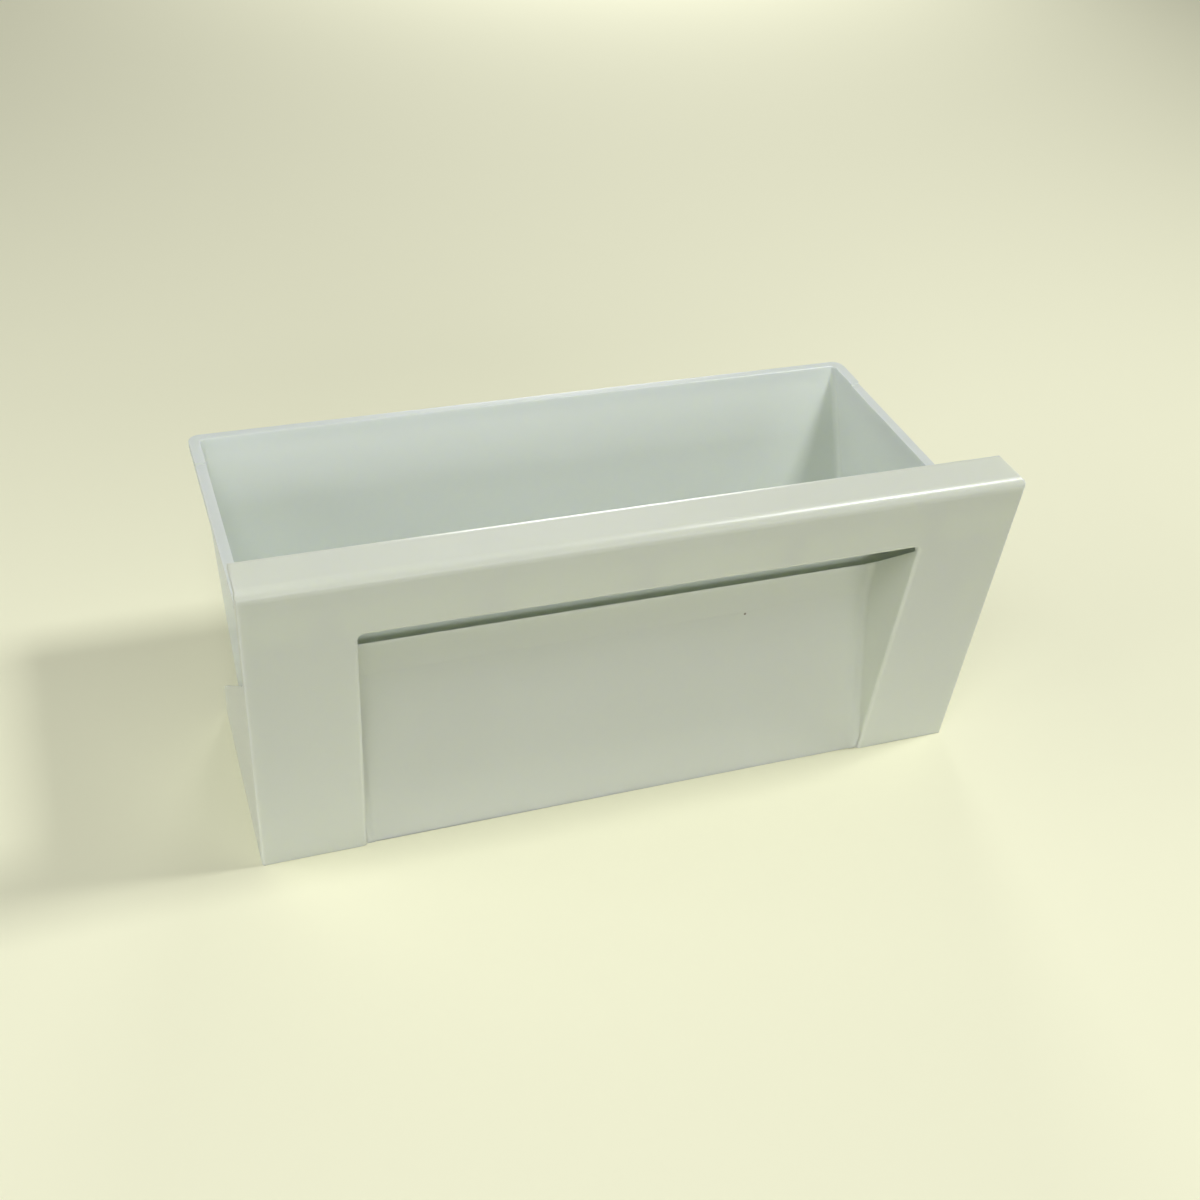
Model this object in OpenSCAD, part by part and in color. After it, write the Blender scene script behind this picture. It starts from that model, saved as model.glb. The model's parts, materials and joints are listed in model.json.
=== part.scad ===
// Lower drawer of a fridge freezer: an open bin held in a front panel with a scooped handle
// recess. Millimetres, +Z up. X runs along the panel and the panel faces -Y. The origin lies
// under the middle of the drawer, on the surface that it stands on.

/* [Front panel] */
// Width of the front panel along its top edge
panel_w = 455; // [380:1:520]
// Height of the front panel
panel_h = 200; // [185:1:230]
// How much each end of the panel leans inward from its top edge to its foot
panel_taper = 2.5; // [0:0.1:6]
// Thickness of the panel's skin, ledge and webs
skin = 2.5; // [2:0.1:3.5]
// Depth of the ledge along the panel's top
ledge_d = 32.2; // [26:0.1:36]
// Radius of the ledge's front edge
nose_r = 7; // [5:0.5:12]
// Radius of the ledge's back edge
back_r = 6.5; // [5:0.5:12]
// Height of the edge turned down along the ledge's back
ledge_lip = 11; // [11:0.5:14]
// Radius of the panel's upper corners
outline_r = 3; // [2.6:0.1:10]
// Depth of the narrow flanges behind the panel's ends
return_d = 6; // [5:0.5:9]

/* [Handle recess] */
// Height of the recess's lip above the drawer's foot
lip_z = 162.5; // [150:0.5:168]
// Distance from the panel's end to the recess, along the lip
recess_side = 61.1; // [45:0.1:90]
// How much each side of the recess leans inward from the lip to the foot
recess_taper = 3.5; // [0:0.5:10]
// Depth of the step where the scoop runs out at the foot
foot_step = 1.6; // [1.2:0.1:2.5]
// Depth of the scoop behind the panel's face
scoop_d = 37; // [30:1:38]
// Height at which the straight ramp of the scoop starts to curve
ramp_z = 84; // [60:1:95]
// Height of the scoop's free upper edge, below the finger gap
scoop_top = 124.5; // [118:0.5:135]
// Radius of the recess's upper corners in the panel's face
recess_r = 4; // [3:0.5:12]
// Width of the rounded edge round the recess
lip_w = 2.3; // [1.6:0.1:3]
// Height of the side walls' sloping edge where it leaves the lip
gap_side_z = 157; // [150:0.5:158]

/* [Side cheeks] */
// Depth of the cheeks along the foot
cheek_d = 135; // [120:1:150]
// Height of a cheek at its rear end
cheek_rear_h = 22; // [15:1:30]
// Height at which a cheek meets the panel
cheek_top = 139; // [120:1:150]
// Width of the rail under each side of the bin
rail_w = 30; // [24:1:40]

/* [Bin] */
// Depth of the whole drawer, from the panel's face to the rear rim
drawer_d = 214; // [195:1:260]
// How far the bin's rim lies below the ledge
rim_drop = 39.6; // [30:0.1:42]
// How far the panel's ends stand out past the bin's rim
panel_overhang = 3.7; // [3:0.1:8]
// Width of the rim
rim_w = 6.3; // [5.5:0.1:9]
// How much each side of the bin spreads from the panel to the rear
spread = 1.9; // [0:0.1:4]
// Thickness of the bin's walls and floor
bin_wall = 2.2; // [1.8:0.1:3]
// Lean of the side walls
side_draft = 1.4; // [0.5:0.1:4]
// Lean of the front wall
front_draft = 1.5; // [0.5:0.1:3]
// Lean of the rear wall, which clears the compressor housing
rear_slant = 31; // [20:1:33]
// Radius where the walls meet the floor
floor_r = 8; // [5:0.5:12]
// Radius of the upright corners inside the bin, at the rim
corner_r = 2.5; // [2.5:0.5:8]
// Height of the edge turned down round the rim
rim_lip = 6.5; // [4:0.5:10]
// Length of the raised stop at the rear of each side rim
stop_l = 32; // [20:1:45]
// Height of the raised stop
stop_h = 0.8; // [0.5:0.1:3]

/* [Hidden] */
$fn = 64;
eps = 0.01;
far = 600;

half_w = panel_w / 2;
foot_half_w = half_w - panel_taper;
rim_z = panel_h - rim_drop;
rim_half = half_w - panel_overhang;
rim_t = 2;
rim_lip_t = 1.8;
rim_rear_r = 7;
rim_front_r = 3;
stop_out = 0.4;

// Width and front edge of the bin's mouth, inside the rim
mouth_half = rim_half - rim_w;
mouth_rear = drawer_d - rim_w;
mouth_front = 46.5;
spread_slope = spread / (mouth_rear - mouth_front);

// The shelf behind the lip, which sits on the bin's front rim by a bead
shelf_half = rim_half - 2;
bead_w = 3;
rib_t = 2;
rib_gap = 88;

// The cheek's outer face is flush with the panel's end at the foot
cheek_out = foot_half_w;
cheek_cut = 2;
floor_z = skin;

recess_half = half_w - recess_side;
recess_foot_half = recess_half - recess_taper;
ramp_slope = (scoop_d - foot_step) / (0.5 * ramp_z + 0.5 * scoop_top);
fillet_r = 5;
pocket_draft = 0.8;
cut_below = 6;
cut_ahead = 4;
gap_front = 4;

// Points along an arc
function arc(c, r, a0, a1, n = 8) =
    [for (i = [0 : n]) let (a = a0 + (a1 - a0) * i / n) c + r * [cos(a), sin(a)]];

// Places of the bin's inner wall faces
function side_x(y, z) =
    mouth_half + spread_slope * (y - mouth_front) - tan(side_draft) * (rim_z - z);
function front_y(z) = mouth_front + tan(front_draft) * (rim_z - z);
function rear_y(z) = mouth_rear - tan(rear_slant) * (rim_z - z);

// Half width of the recess at a height
function recess_x(z) = recess_foot_half + recess_taper * z / lip_z;

// Depth of the scoop: a straight ramp that curves upright at its top
function scoop_y(z) =
    z < ramp_z ? foot_step + ramp_slope * z
    : scoop_d - (scoop_d - foot_step - ramp_slope * ramp_z)
        * pow(max(0, scoop_top - z) / (scoop_top - ramp_z), 2);

module both_ends() {
    children();
    mirror([1, 0, 0]) children();
}

// Stretches a side view (Y, Z) along X, centred
module along_x(length) {
    translate([-length / 2, 0, 0]) rotate([90, 0, 90]) linear_extrude(length) children();
}

// Gives a front view (X, Z) a depth from y0 to y1
module along_y(y0, y1) {
    translate([0, y1, 0]) rotate([90, 0, 0]) linear_extrude(y1 - y0) children();
}

// Front view of the panel, smaller by an inset
module panel_outline(inset = 0) {
    r = outline_r - inset;
    top = panel_h - inset;
    polygon(concat(
        [[-foot_half_w + inset, 0], [foot_half_w - inset, 0]],
        arc([half_w - inset - r, top - r], r, 0, 90),
        arc([-half_w + inset + r, top - r], r, 90, 180)));
}

// Side view of the panel as far back as the ledge, smaller by an inset
module ledge_form(inset = 0) {
    translate([inset, 0]) square([nose_r - inset, panel_h - nose_r]);
    translate([nose_r, panel_h - nose_r]) circle(nose_r - inset);
    translate([nose_r, 0]) square([ledge_d - nose_r - back_r, panel_h - inset]);
    translate([ledge_d - back_r, 0]) square([back_r - inset, panel_h - back_r]);
    translate([ledge_d - back_r, panel_h - back_r]) circle(back_r - inset);
}

// Side view of the skin and the hollow ledge above it
module ledge_section() {
    difference() {
        ledge_form();
        ledge_form(skin);
        translate([skin, -1]) square([ledge_d, panel_h - ledge_lip + 1]);
    }
}

// Removes the sharp front corner along one end of the panel
module end_edge_cut(r = 2) {
    translate([foot_half_w, 0, -1])
        rotate([0, atan(panel_taper / panel_h), 0])
            linear_extrude(panel_h + 3)
                difference() {
                    translate([-r, -1]) square(r + 1);
                    translate([-r, r]) circle(r);
                }
}

// Removes the rear corner of the ledge in plan
module ledge_corner_cut(r = 6) {
    translate([half_w - r, ledge_d - r, panel_h - ledge_lip - 1])
        linear_extrude(ledge_lip + 2)
            difference() {
                square(r + 2);
                circle(r);
            }
}

// Front view of the recess, larger by a margin
module recess_outline(margin = 0) {
    r = recess_r + margin;
    low = -cut_below;
    xl = recess_x(low) + margin;
    xt = recess_x(lip_z) + margin;
    polygon(concat(
        [[-xl, low], [xl, low]],
        arc([xt - r, lip_z + margin - r], r, 0, 90),
        arc([-xt + r, lip_z + margin - r], r, 90, 180)));
}

// The scoop as a solid, larger by a margin, with rounded inner edges
module scoop(margin = 0) {
    levels = [-cut_below, ramp_z, (ramp_z + scoop_top) / 2, scoop_top - 4, lip_z - fillet_r];
    hull() {
        along_y(-cut_ahead, eps - cut_ahead) recess_outline(margin);
        for (z = levels, s = [-1, 1])
            translate([
                s * (recess_x(z) - fillet_r - pocket_draft),
                scoop_y(z) - fillet_r,
                z
            ])
                sphere(fillet_r + margin, $fn = 32);
    }
}

// The rounded edge of the panel's face round the recess
module lip_cut() {
    for (a = [0, 30, 60])
        hull()
            for (t = [a, a + 30]) {
                depth = foot_step * (1 - cos(t));
                along_y(depth - eps, depth + eps) recess_outline(lip_w * (1 - sin(t)));
            }
}

// Opens the back of the scoop above its free edge, and the rear corners of its sides
module finger_gap() {
    along_x(2 * recess_half + 4 * skin)
        polygon([
            [gap_front, lip_z],
            [gap_front, gap_side_z],
            [scoop_d, scoop_top],
            [scoop_d + 3 * skin, scoop_top - 3 * skin],
            [scoop_d + 6 * skin, scoop_top - 3 * skin],
            [scoop_d + 6 * skin, lip_z]
        ]);
}

// Side wing that reaches back to the bin's foot, with the rail that carries the bin
module cheek() {
    translate([cheek_out - skin, 0, 0])
        rotate([90, 0, 90])
            linear_extrude(skin)
                polygon([
                    [1, 0],
                    [cheek_d - cheek_cut, 0],
                    [cheek_d, cheek_cut],
                    [cheek_d, cheek_rear_h],
                    [1, cheek_top]
                ]);
    translate([cheek_out - rail_w, 1, 0]) cube([rail_w, cheek_d - 1 - cheek_cut, skin]);
}

// Shelf behind the lip, with the bead that sits on the bin's front rim
module shelf() {
    translate([-shelf_half, 1, lip_z]) cube([2 * shelf_half, mouth_front - 1, skin]);
    translate([-shelf_half, mouth_front - bead_w, rim_z])
        cube([2 * shelf_half, bead_w, lip_z - rim_z + eps]);
}

// Webs between the shelf and the ledge
module ribs() {
    for (i = [-2 : 2])
        translate([i * rib_gap - rib_t / 2, 0, 0])
            rotate([90, 0, 90])
                linear_extrude(rib_t)
                    polygon(concat(
                        [
                            [1, lip_z + 1],
                            [mouth_front - 2, lip_z + 1],
                            [mouth_front - 2, lip_z + skin + 2],
                            [ledge_d - 1, panel_h - ledge_lip + 1]
                        ],
                        arc([ledge_d - back_r, panel_h - back_r], back_r - 1, 0, 90),
                        arc([nose_r, panel_h - nose_r], nose_r - 1, 90, 180)));
}

module front_panel() {
    color([0.93, 0.95, 0.92])
        difference() {
            union() {
                intersection() {
                    along_x(far) ledge_section();
                    along_y(-1, ledge_d + 1) panel_outline();
                }
                difference() {
                    intersection() {
                        along_y(1, return_d) panel_outline();
                        along_x(far) ledge_form();
                    }
                    along_y(0, return_d + 1) panel_outline(skin);
                }
                difference() {
                    intersection() {
                        scoop(skin);
                        along_y(0, far) panel_outline(skin);
                    }
                    finger_gap();
                }
                shelf();
                ribs();
                both_ends() cheek();
            }
            scoop();
            lip_cut();
            both_ends() {
                end_edge_cut();
                ledge_corner_cut();
            }
        }
}

// The tub as one solid: eight balls that touch the wall planes, grown by a margin
module tub(margin = 0) {
    hull()
        for (level = [[floor_z + bin_wall + floor_r, floor_r], [rim_z + 20, corner_r]]) {
            z = level[0];
            r = level[1];
            y0 = front_y(z) + r / cos(front_draft);
            y1 = rear_y(z) - r / cos(rear_slant);
            for (s = [-1, 1], y = [y0, y1])
                translate([s * (side_x(y, z) - r / cos(side_draft)), y, z])
                    sphere(r + margin, $fn = 36);
        }
}

// Plan of the rim's outer edge from y0 to the rear, larger at the sides by a margin
module rim_plan(y0, margin = 0, inset = 0) {
    rear = drawer_d - inset;
    x0 = rim_half + spread_slope * (y0 - mouth_front) + margin - inset;
    x1 = rim_half + spread + margin - inset;
    rr = rim_rear_r - inset;
    fr = rim_front_r;
    polygon(concat(
        arc([-x0 + fr, y0 + fr], fr, 180, 270, 4),
        arc([x0 - fr, y0 + fr], fr, 270, 360, 4),
        arc([x1 - rr, rear - rr], rr, 0, 90),
        arc([-x1 + rr, rear - rr], rr, 90, 180)));
}

module rim() {
    front = mouth_front - rim_w;
    translate([0, 0, rim_z - rim_t]) linear_extrude(rim_t) rim_plan(front);
    translate([0, 0, rim_z - rim_lip])
        linear_extrude(rim_lip)
            difference() {
                rim_plan(mouth_front);
                translate([0, -rim_w]) rim_plan(front - rim_w, 0, rim_lip_t);
            }
    // Raised stop round the rear, which keeps the drawer from sliding right out
    translate([0, 0, rim_z - rim_t])
        linear_extrude(rim_t + stop_h) rim_plan(drawer_d - stop_l, stop_out);
}

module bin() {
    color([0.92, 0.95, 0.93])
        difference() {
            union() {
                intersection() {
                    tub(bin_wall);
                    translate([-far / 2, 0, 0]) cube([far, far, rim_z]);
                }
                rim();
                flat_floor();
            }
            tub();
        }
}

// Flat underside that stands on the rails
module flat_floor() {
    z = floor_z + bin_wall + floor_r;
    y0 = front_y(z) + floor_r;
    y1 = rear_y(z) - floor_r;
    x = side_x(y0, z) - floor_r;
    translate([-x, y0, floor_z]) cube([2 * x, y1 - y0, bin_wall]);
}

// Centres the drawer front to back
module centred() {
    translate([0, -drawer_d / 2, 0]) children();
}

centred() front_panel();
centred() bin();
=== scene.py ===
"""Lower drawer of a fridge freezer: looks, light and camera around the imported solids.

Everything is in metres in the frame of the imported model. X runs along the front panel,
the panel faces -Y and Z is up. The drawer stands on the plane z = 0.
"""

import json
import math

import bmesh
import bpy
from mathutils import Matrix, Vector

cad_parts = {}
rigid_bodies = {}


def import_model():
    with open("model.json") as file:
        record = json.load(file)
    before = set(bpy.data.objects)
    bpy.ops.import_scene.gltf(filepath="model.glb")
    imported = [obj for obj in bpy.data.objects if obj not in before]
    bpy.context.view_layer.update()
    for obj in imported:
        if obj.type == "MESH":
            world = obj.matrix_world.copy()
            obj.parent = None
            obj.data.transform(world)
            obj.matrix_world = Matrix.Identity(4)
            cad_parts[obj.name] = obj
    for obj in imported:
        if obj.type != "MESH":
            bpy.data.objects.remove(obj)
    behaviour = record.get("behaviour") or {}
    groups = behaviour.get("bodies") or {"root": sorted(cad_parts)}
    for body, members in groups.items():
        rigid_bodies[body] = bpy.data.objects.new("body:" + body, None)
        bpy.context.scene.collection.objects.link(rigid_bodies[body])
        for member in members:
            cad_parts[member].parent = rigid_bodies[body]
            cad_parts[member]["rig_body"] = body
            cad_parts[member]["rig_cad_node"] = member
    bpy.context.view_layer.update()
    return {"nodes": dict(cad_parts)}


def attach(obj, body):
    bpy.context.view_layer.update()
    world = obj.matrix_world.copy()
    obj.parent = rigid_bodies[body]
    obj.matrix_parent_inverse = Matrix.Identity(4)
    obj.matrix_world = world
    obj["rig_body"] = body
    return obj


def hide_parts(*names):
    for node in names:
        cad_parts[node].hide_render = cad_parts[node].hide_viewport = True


bl_info = {
    "name": "Fridge freezer drawer",
    "version": (1, 0, 0),
    "blender": (4, 5, 0),
    "location": "View3D > Sidebar > Drawer",
    "description": "Dresses a moulded fridge freezer drawer and sets it on a studio table",
    "category": "Object",
}

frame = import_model()

MM = 0.001
BODY = "root"


# Merging the loose triangles of a solid: how near their corners lie, and how flat the
# faces are that become one
MERGE_REACH = 0.03 * MM
FLAT_ANGLE = math.radians(0.3)

# Room that a rounding needs, in its own widths: along an edge with a rounding at each
# end, and beside the rounding in a narrow corner of a face
ROOM_BETWEEN = 2.1
ROOM_BESIDE = 1.05
ROUNDING_STEPS = 2

# Plastic: how far red, green and blue light spread in it against each other, and what
# the thickest dust adds to its roughness
PLASTIC_IOR = 1.49
SPREAD_BY_COLOUR = (1.0, 1.0, 0.8)
DUSTY_ROUGHNESS = 0.04
GRAIN_DEPTH = 0.15 * MM
GRAIN_STRENGTH = 0.12

# Marks: values of the noise at which the film of dust is absent and at its thickest, and
# a shift of the whole pattern that lays one speck on the recess as in the photograph
FILM_RANGE = (0.2, 0.9)
MARKS_SHIFT = (-0.2004, -0.0329, -0.1067)

# Table: colours that its near and far parts give to the light bounced up to the drawer,
# the far one painted shade that dims the bounce, and the distances from the drawer's
# middle between which one fades into the other
TABLE_SIZE = 12.0
TABLE_ROUGHNESS = 0.9
TABLE_SPECULAR = 0.1
TABLE_NEAR = (0.90, 0.91, 0.78)
TABLE_FAR_PAINTED_SHADE = (0.12, 0.12, 0.10)
TABLE_FADE = (0.36, 0.62)

# Name, place, point that it faces, size and power in watts of each lamp
LAMPS = (
    ("key_lamp", (1.15, -0.10, 1.8), (0.0, -0.05, 0.1), (0.4, 0.4), 22.5),
    ("near_lamp", (-0.45, -0.65, 1.25), (-0.45, -0.65, 0.0), (0.45, 0.45), 4.2),
    ("left_lamp", (-2.2, 0.0, 0.9), (0.0, 0.0, 0.1), (1.6, 1.0), 15.0),
    ("side_lamp", (-1.0, 0.30, 1.1), (-0.2, 0.0, 0.0), (0.6, 0.6), 1.6),
    ("front_lamp", (0.0, -2.4, 0.9), (0.0, 0.0, 0.1), (2.4, 0.8), 20.0),
    ("window_lamp", (0.85, 2.4, 0.7), (0.0, -0.1, 0.2), (0.75, 0.8), 20.0),
)

# Camera: place, turn in degrees, shift, width of its sensor in millimetres and the
# distances between which it sees
CAMERA_PLACE = (-0.2833, -0.6592, 0.6388)
CAMERA_TURN = (51.005, -3.065, -17.468)
CAMERA_SHIFT = (0.0738, 0.0079)
SENSOR_WIDTH = 36.0
CAMERA_REACH = (0.01, 60.0)


class DrawerMouldingSettings(bpy.types.PropertyGroup):
    """Edges of the two mouldings"""

    edge_radius: bpy.props.FloatProperty(
        name="Edge radius",
        description="Radius left by the mould on edges that the solids keep sharp",
        default=0.45 * MM,
        min=0.0,
        unit="LENGTH",
    )
    edge_angle: bpy.props.FloatProperty(
        name="Edge angle",
        description="Angle between faces above which an edge is rounded",
        default=math.radians(50),
        subtype="ANGLE",
    )
    smooth_angle: bpy.props.FloatProperty(
        name="Smooth angle",
        description="Angle between faces below which the surface is shaded as one curve",
        default=math.radians(50),
        subtype="ANGLE",
    )


class DrawerFinishSettings(bpy.types.PropertyGroup):
    """Colour and finish of the plastic"""

    panel_colour: bpy.props.FloatVectorProperty(
        name="Panel colour",
        description="Colour of the front panel's plastic",
        default=(0.71, 0.742, 0.645),
        subtype="COLOR",
        min=0.0,
        max=1.0,
    )
    bin_colour: bpy.props.FloatVectorProperty(
        name="Bin colour",
        description="Colour of the bin's plastic",
        default=(0.72, 0.77, 0.725),
        subtype="COLOR",
        min=0.0,
        max=1.0,
    )
    dirt_colour: bpy.props.FloatVectorProperty(
        name="Dirt colour",
        description="Colour of dust and small marks",
        default=(0.30, 0.29, 0.22),
        subtype="COLOR",
        min=0.0,
        max=1.0,
    )
    dust_share: bpy.props.FloatProperty(
        name="Dust share",
        description="Share of the dirt colour where the film of dust is thickest",
        default=0.02,
        min=0.0,
        max=1.0,
        subtype="FACTOR",
    )
    roughness: bpy.props.FloatProperty(
        name="Roughness",
        description="Roughness of the clean plastic",
        default=0.285,
        min=0.0,
        max=1.0,
        subtype="FACTOR",
    )
    translucency: bpy.props.FloatProperty(
        name="Translucency",
        description="Share of the light that enters the plastic and spreads in it",
        default=0.9,
        min=0.0,
        max=1.0,
        subtype="FACTOR",
    )
    light_spread: bpy.props.FloatProperty(
        name="Light spread",
        description="How far light spreads in the plastic",
        default=4 * MM,
        min=0.0,
        unit="LENGTH",
    )


class DrawerStageSettings(bpy.types.PropertyGroup):
    """Table, lamps and camera"""

    table_colour: bpy.props.FloatVectorProperty(
        name="Table colour",
        description="Colour of the table top",
        default=(0.93, 0.928, 0.69),
        subtype="COLOR",
        min=0.0,
        max=1.0,
    )
    lamp_power: bpy.props.FloatProperty(
        name="Lamp power",
        description="Factor on the power of all the soft lamps",
        default=1.0,
        min=0.0,
        subtype="FACTOR",
    )
    sky_strength: bpy.props.FloatProperty(
        name="Sky strength",
        description="Strength of the even light from all round",
        default=0.04,
        min=0.0,
    )
    lens: bpy.props.FloatProperty(
        name="Lens",
        description="Focal length of the camera",
        default=42.5,
        min=1.0,
        unit="CAMERA",
    )


# Selecting and shaping


def select_only(obj):
    """Deselects everything, then selects one object and makes it active."""
    if bpy.context.object and bpy.context.object.mode != "OBJECT":
        bpy.ops.object.mode_set(mode="OBJECT")
    bpy.ops.object.select_all(action="DESELECT")
    obj.select_set(True)
    bpy.context.view_layer.objects.active = obj


def moulding_from(node, name):
    """A merged copy of a CAD node, which can be shaded and rounded as one surface."""
    select_only(frame["nodes"][node])
    bpy.ops.object.duplicate()
    piece = bpy.context.object
    piece.name = name
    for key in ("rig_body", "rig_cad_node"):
        if key in piece:
            del piece[key]
    bpy.ops.object.parent_clear(type="CLEAR_KEEP_TRANSFORM")
    piece.data.name = name
    piece.data.materials.clear()
    bpy.ops.mesh.customdata_custom_splitnormals_clear()
    bpy.ops.object.mode_set(mode="EDIT")
    bpy.ops.mesh.select_all(action="SELECT")
    bpy.ops.mesh.remove_doubles(threshold=MERGE_REACH)
    bpy.ops.mesh.dissolve_limited(angle_limit=FLAT_ANGLE)
    bpy.ops.mesh.quads_convert_to_tris(quad_method="BEAUTY", ngon_method="BEAUTY")
    bpy.ops.object.mode_set(mode="OBJECT")
    return piece


def has_room(vertex, sharp, width):
    """Whether the edges and faces round a vertex are wide enough for a rounding."""
    keen = [edge for edge in vertex.link_edges if edge in sharp]
    if any(not edge.is_convex for edge in keen):
        return False
    crossing = [edge for edge in vertex.link_edges if edge not in sharp or len(keen) > 2]
    if any(edge.calc_length() < ROOM_BETWEEN * width for edge in crossing):
        return False
    for corner in vertex.link_loops:
        sides = (corner.edge, corner.link_loop_prev.edge)
        soft = [edge for edge in sides if edge not in sharp]
        angle = corner.calc_angle()
        if len(soft) == 1 and angle < math.pi / 2:
            if soft[0].calc_length() * math.sin(angle) < ROOM_BESIDE * width:
                return False
    return True


def mark_edges(piece, settings):
    """Gives full bevel weight to the sharp outer edges that have room for a rounding."""
    shape = bmesh.new()
    shape.from_mesh(piece.data)
    sharp = {
        edge
        for edge in shape.edges
        if edge.is_manifold and edge.calc_face_angle(0.0) > settings.edge_angle
    }
    roomy = {
        vertex for vertex in shape.verts if has_room(vertex, sharp, settings.edge_radius)
    }
    weights = [
        float(edge in sharp and edge.is_convex and roomy.issuperset(edge.verts))
        for edge in shape.edges
    ]
    shape.free()
    layer = piece.data.attributes.new("bevel_weight_edge", "FLOAT", "EDGE")
    layer.data.foreach_set("value", weights)


def soften(piece, settings):
    """Rounds the sharp edges of a moulding and shades the rest as smooth curves."""
    select_only(piece)
    mark_edges(piece, settings)
    bevel = piece.modifiers.new("edges", "BEVEL")
    bevel.width = settings.edge_radius
    bevel.segments = ROUNDING_STEPS
    bevel.limit_method = "WEIGHT"
    bevel.use_clamp_overlap = False
    bpy.ops.object.modifier_apply(modifier=bevel.name)
    bpy.ops.object.shade_smooth_by_angle(angle=settings.smooth_angle)
    flats = piece.modifiers.new("flats", "WEIGHTED_NORMAL")
    flats.keep_sharp = True
    bpy.ops.object.modifier_apply(modifier=flats.name)


# Nodes and materials


def set_inputs(node, values):
    """Sets sockets of a node by their names or numbers."""
    for socket, value in values.items():
        node.inputs[socket].default_value = value


def new_node(tree, kind, values=None, **settings):
    """A node with its settings and the values of its sockets."""
    node = tree.nodes.new(kind)
    for key, value in settings.items():
        setattr(node, key, value)
    set_inputs(node, values or {})
    return node


def new_material(name):
    """A material with its node tree and its Principled BSDF."""
    material = bpy.data.materials.new(name)
    material.use_nodes = True
    return material, material.node_tree, material.node_tree.nodes["Principled BSDF"]


def opaque(colour):
    """A colour with full alpha, as colour sockets take it."""
    return tuple(colour) + (1.0,)


def new_group(name, numbers, outputs):
    """An empty shader node group that takes a vector and numbers and gives numbers."""
    group = bpy.data.node_groups.new(name, "ShaderNodeTree")
    add = group.interface.new_socket
    add("Vector", in_out="INPUT", socket_type="NodeSocketVector")
    for socket, value in numbers.items():
        made = add(socket, in_out="INPUT", socket_type="NodeSocketFloat")
        made.default_value = value
    for socket in outputs:
        add(socket, in_out="OUTPUT", socket_type="NodeSocketFloat")
    return group, new_node(group, "NodeGroupInput"), new_node(group, "NodeGroupOutput")


def moulded_grain_group():
    """Fine texture of a spark-eroded mould over the slow waviness of thin plastic."""
    name = "Moulded grain"
    if name in bpy.data.node_groups:
        return bpy.data.node_groups[name]
    numbers = {"Grain scale": 1800.0, "Wave scale": 9.0, "Wave share": 0.6}
    group, given, out = new_group(name, numbers, ["Height"])
    grain = new_node(group, "ShaderNodeTexNoise", {"Detail": 2.0})
    wave = new_node(group, "ShaderNodeTexNoise", {"Detail": 1.0})
    mix = new_node(group, "ShaderNodeMix")
    link = group.links.new
    link(given.outputs["Vector"], grain.inputs["Vector"])
    link(given.outputs["Vector"], wave.inputs["Vector"])
    link(given.outputs["Grain scale"], grain.inputs["Scale"])
    link(given.outputs["Wave scale"], wave.inputs["Scale"])
    link(given.outputs["Wave share"], mix.inputs["Factor"])
    link(grain.outputs["Fac"], mix.inputs["A"])
    link(wave.outputs["Fac"], mix.inputs["B"])
    link(mix.outputs["Result"], out.inputs["Height"])
    return group


def handling_marks_group():
    """Thin film of dust and a few dark specks, as on a drawer taken out of use."""
    name = "Handling marks"
    if name in bpy.data.node_groups:
        return bpy.data.node_groups[name]
    numbers = {
        "Film scale": 14.0,
        "Speck scale": 55.0,
        "Speck reach": 0.045,
        "Patch scale": 23.0,
        "Speck rarity": 0.72,
    }
    group, given, out = new_group(name, numbers, ["Film", "Specks"])
    film = new_node(group, "ShaderNodeTexNoise", {"Detail": 1.0, "Roughness": 0.6})
    film_ramp = new_node(
        group,
        "ShaderNodeMapRange",
        {"From Min": FILM_RANGE[0], "From Max": FILM_RANGE[1]},
    )
    cells = new_node(group, "ShaderNodeTexVoronoi")
    near = new_node(group, "ShaderNodeMath", operation="LESS_THAN")
    rare = new_node(group, "ShaderNodeTexNoise")
    few = new_node(group, "ShaderNodeMath", operation="GREATER_THAN")
    both = new_node(group, "ShaderNodeMath", operation="MULTIPLY")
    link = group.links.new
    for pattern, scale in ((film, "Film scale"), (cells, "Speck scale"), (rare, "Patch scale")):
        link(given.outputs["Vector"], pattern.inputs["Vector"])
        link(given.outputs[scale], pattern.inputs["Scale"])
    link(film.outputs["Fac"], film_ramp.inputs["Value"])
    link(film_ramp.outputs["Result"], out.inputs["Film"])
    link(cells.outputs["Distance"], near.inputs[0])
    link(given.outputs["Speck reach"], near.inputs[1])
    link(rare.outputs["Fac"], few.inputs[0])
    link(given.outputs["Speck rarity"], few.inputs[1])
    link(near.outputs["Value"], both.inputs[0])
    link(few.outputs["Value"], both.inputs[1])
    link(both.outputs["Value"], out.inputs["Specks"])
    return group


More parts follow.
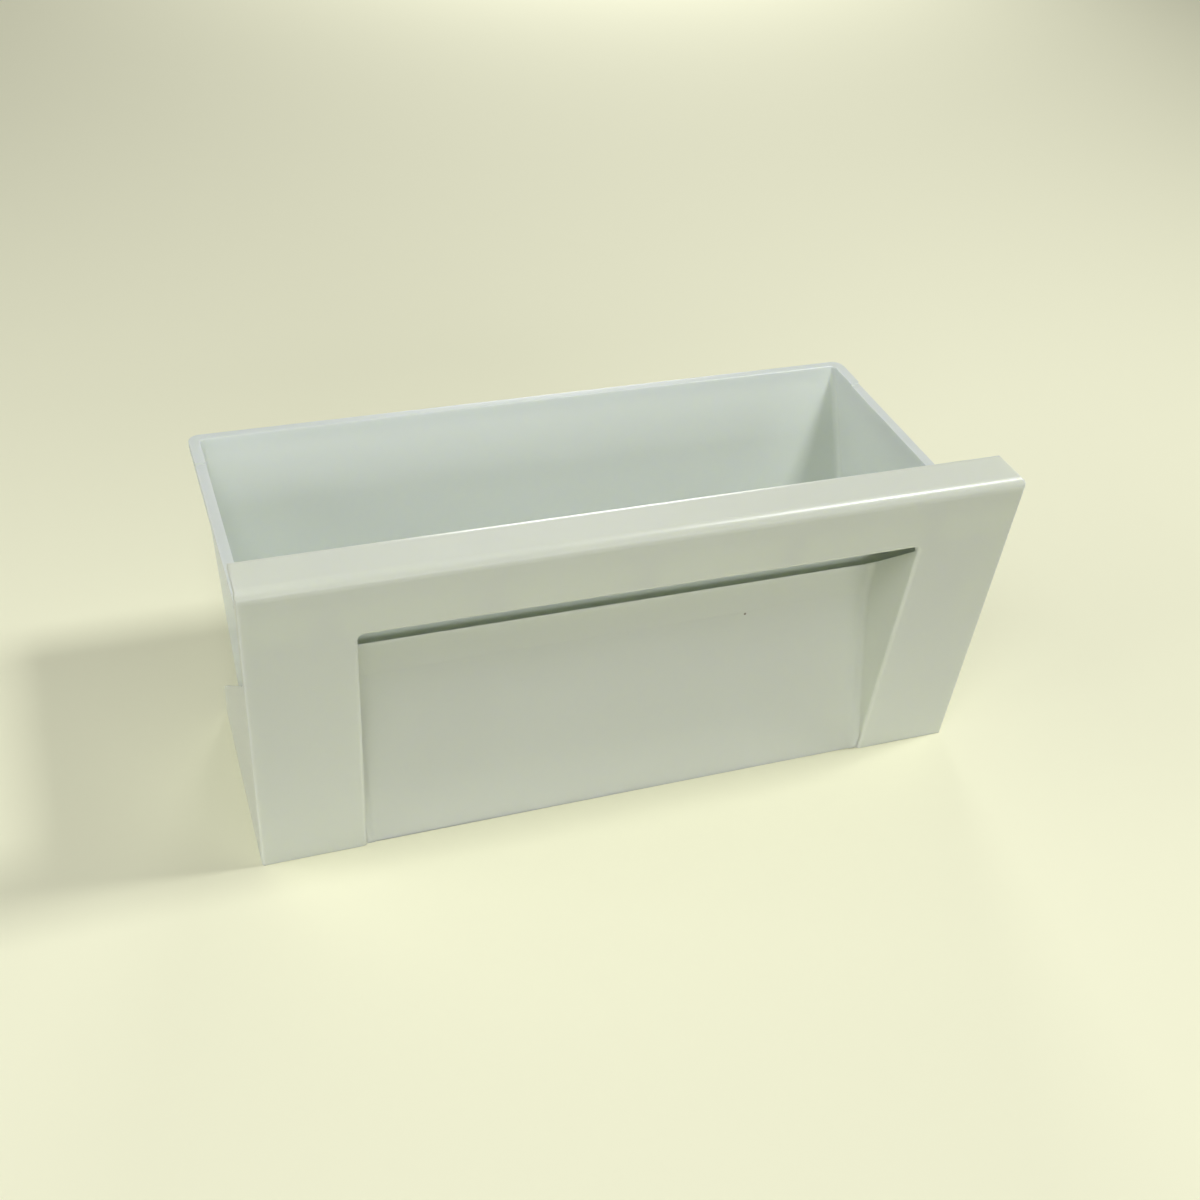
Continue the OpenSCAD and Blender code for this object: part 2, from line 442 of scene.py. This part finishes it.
def moulded_plastic(name, colour, finish):
    """Satin moulded plastic with grain, a faint film of dust and small specks."""
    material, tree, shader = new_material(name)
    set_inputs(
        shader,
        {
            "Subsurface Weight": finish.translucency,
            "Subsurface Radius": SPREAD_BY_COLOUR,
            "Subsurface Scale": finish.light_spread,
            "IOR": PLASTIC_IOR,
        },
    )
    place = new_node(tree, "ShaderNodeTexCoord")
    moved = new_node(tree, "ShaderNodeMapping", {"Location": MARKS_SHIFT})
    marks = new_node(tree, "ShaderNodeGroup", node_tree=handling_marks_group())
    dust = new_node(tree, "ShaderNodeMath", {1: finish.dust_share}, operation="MULTIPLY")
    dirt = opaque(finish.dirt_colour)
    colours = {"A": opaque(colour), "B": dirt}
    dusty = new_node(tree, "ShaderNodeMix", colours, data_type="RGBA")
    specked = new_node(tree, "ShaderNodeMix", {"B": dirt}, data_type="RGBA")
    gloss = new_node(
        tree,
        "ShaderNodeMapRange",
        {"To Min": finish.roughness, "To Max": finish.roughness + DUSTY_ROUGHNESS},
    )
    grain = new_node(tree, "ShaderNodeGroup", node_tree=moulded_grain_group())
    bump = new_node(
        tree, "ShaderNodeBump", {"Strength": GRAIN_STRENGTH, "Distance": GRAIN_DEPTH}
    )

    link = tree.links.new
    link(place.outputs["Object"], moved.inputs["Vector"])
    link(moved.outputs["Vector"], marks.inputs["Vector"])
    link(marks.outputs["Film"], dust.inputs[0])
    link(dust.outputs["Value"], dusty.inputs["Factor"])
    link(marks.outputs["Specks"], specked.inputs["Factor"])
    link(dusty.outputs["Result"], specked.inputs["A"])
    link(specked.outputs["Result"], shader.inputs["Base Color"])
    link(marks.outputs["Film"], gloss.inputs["Value"])
    link(gloss.outputs["Result"], shader.inputs["Roughness"])
    link(place.outputs["Object"], grain.inputs["Vector"])
    link(grain.outputs["Height"], bump.inputs["Height"])
    link(bump.outputs["Normal"], shader.inputs["Normal"])
    return material


def table_finish(colour):
    """Matt pale table top. For the light that it bounces onto the drawer its colour is painted
    darker with distance, painted shade that stands in for a table with edges, while the
    camera and reflections see a plain pale ground."""
    material, tree, shader = new_material("table_top")
    set_inputs(shader, {"Roughness": TABLE_ROUGHNESS, "Specular IOR Level": TABLE_SPECULAR})
    place = new_node(tree, "ShaderNodeTexCoord")
    reach = new_node(tree, "ShaderNodeVectorMath", operation="LENGTH")
    fade = new_node(
        tree,
        "ShaderNodeMapRange",
        {"From Min": TABLE_FADE[0], "From Max": TABLE_FADE[1]},
    )
    # painted shade: pale near the drawer and dark further off, seen only by bounced light
    painted_bounce_shade = new_node(
        tree,
        "ShaderNodeMix",
        {"A": opaque(TABLE_NEAR), "B": opaque(TABLE_FAR_PAINTED_SHADE)},
        data_type="RGBA",
    )
    ray = new_node(tree, "ShaderNodeLightPath")
    mirrored = new_node(tree, "ShaderNodeMath", operation="MAXIMUM")
    plain = new_node(tree, "ShaderNodeMath", operation="MAXIMUM")
    shown = new_node(tree, "ShaderNodeMix", {"B": opaque(colour)}, data_type="RGBA")

    link = tree.links.new
    link(place.outputs["Object"], reach.inputs[0])
    link(reach.outputs["Value"], fade.inputs["Value"])
    link(fade.outputs["Result"], painted_bounce_shade.inputs["Factor"])
    link(painted_bounce_shade.outputs["Result"], shown.inputs["A"])
    link(ray.outputs["Is Glossy Ray"], mirrored.inputs[0])
    link(ray.outputs["Is Transmission Ray"], mirrored.inputs[1])
    link(ray.outputs["Is Camera Ray"], plain.inputs[0])
    link(mirrored.outputs["Value"], plain.inputs[1])
    link(plain.outputs["Value"], shown.inputs["Factor"])
    link(shown.outputs["Result"], shader.inputs["Base Color"])
    return material


# The two mouldings


def dressed(scene, node, name, plastic, colour):
    """A rounded and shaded copy of a CAD node in its own plastic."""
    piece = moulding_from(node, name)
    soften(piece, scene.drawer_moulding)
    piece.data.materials.append(moulded_plastic(plastic, colour, scene.drawer_finish))
    return piece


class DRAWER_OT_front_panel(bpy.types.Operator):
    """Dress the front panel with its ledge, scooped recess, cheeks and rails"""

    bl_idname = "drawer.front_panel"
    bl_label = "Front panel"

    def execute(self, context):
        colour = context.scene.drawer_finish.panel_colour
        piece = dressed(context.scene, "front_panel", "panel_moulding", "panel_plastic", colour)
        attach(piece, BODY)
        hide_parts("front_panel")
        return {"FINISHED"}


class DRAWER_OT_bin(bpy.types.Operator):
    """Dress the bin with its rim"""

    bl_idname = "drawer.bin"
    bl_label = "Bin"

    def execute(self, context):
        colour = context.scene.drawer_finish.bin_colour
        piece = dressed(context.scene, "bin", "bin_moulding", "bin_plastic", colour)
        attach(piece, BODY)
        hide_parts("bin")
        return {"FINISHED"}


# Table, lamps and camera


def add_table(colour):
    """The table top that the drawer stands on."""
    bpy.ops.mesh.primitive_plane_add(size=TABLE_SIZE)
    table = bpy.context.object
    table.name = "table"
    table.data.materials.append(table_finish(colour))


def soft_lamp(name, place, aim, size, power):
    """A rectangular soft lamp that faces a point."""
    bpy.ops.object.light_add(type="AREA", location=place)
    lamp = bpy.context.object
    lamp.name = name
    lamp.data.shape = "RECTANGLE"
    lamp.data.size, lamp.data.size_y = size
    lamp.data.energy = power
    facing = Vector(aim) - Vector(place)
    lamp.rotation_euler = facing.to_track_quat("-Z", "Y").to_euler()


def light_sky(scene, strength):
    """Even white light from all round."""
    scene.world = scene.world or bpy.data.worlds.new("studio")
    scene.world.use_nodes = True
    background = scene.world.node_tree.nodes["Background"]
    set_inputs(background, {"Color": (1.0, 1.0, 1.0, 1.0), "Strength": strength})


def add_camera(scene, lens):
    """The camera where the photograph was taken from."""
    turn = [math.radians(angle) for angle in CAMERA_TURN]
    bpy.ops.object.camera_add(location=CAMERA_PLACE, rotation=turn)
    camera = bpy.context.object
    camera.name = "camera"
    camera.data.sensor_width = SENSOR_WIDTH
    camera.data.lens = lens
    camera.data.shift_x, camera.data.shift_y = CAMERA_SHIFT
    camera.data.clip_start, camera.data.clip_end = CAMERA_REACH
    scene.camera = camera


class DRAWER_OT_stage(bpy.types.Operator):
    """Lay the table, hang the lamps and place the camera"""

    bl_idname = "drawer.stage"
    bl_label = "Stage"

    def execute(self, context):
        settings = context.scene.drawer_stage
        bpy.ops.object.select_all(action="DESELECT")
        add_table(settings.table_colour)
        for name, place, aim, size, power in LAMPS:
            soft_lamp(name, place, aim, size, power * settings.lamp_power)
        light_sky(context.scene, settings.sky_strength)
        add_camera(context.scene, settings.lens)
        context.scene.view_settings.view_transform = "Standard"
        return {"FINISHED"}


SETTINGS = (
    ("drawer_moulding", DrawerMouldingSettings),
    ("drawer_finish", DrawerFinishSettings),
    ("drawer_stage", DrawerStageSettings),
)
STEPS = (DRAWER_OT_front_panel, DRAWER_OT_bin, DRAWER_OT_stage)


class DRAWER_PT_panel(bpy.types.Panel):
    """Sidebar panel that lists the settings and the steps"""

    bl_label = "Drawer"
    bl_idname = "DRAWER_PT_panel"
    bl_space_type = "VIEW_3D"
    bl_region_type = "UI"
    bl_category = "Drawer"

    def draw(self, context):
        for key, _ in SETTINGS:
            settings = getattr(context.scene, key)
            box = self.layout.box()
            for name in settings.bl_rna.properties.keys():
                if name not in ("rna_type", "name"):
                    box.prop(settings, name)
        for step in STEPS:
            self.layout.operator(step.bl_idname)


def register():
    for key, settings in SETTINGS:
        bpy.utils.register_class(settings)
        setattr(bpy.types.Scene, key, bpy.props.PointerProperty(type=settings))
    for step in STEPS:
        bpy.utils.register_class(step)
    bpy.utils.register_class(DRAWER_PT_panel)


def unregister():
    bpy.utils.unregister_class(DRAWER_PT_panel)
    for step in reversed(STEPS):
        bpy.utils.unregister_class(step)
    for key, settings in reversed(SETTINGS):
        delattr(bpy.types.Scene, key)
        bpy.utils.unregister_class(settings)


def main():
    register()
    bpy.ops.drawer.front_panel()
    bpy.ops.drawer.bin()
    bpy.ops.drawer.stage()


if __name__ == "__main__":
    main()
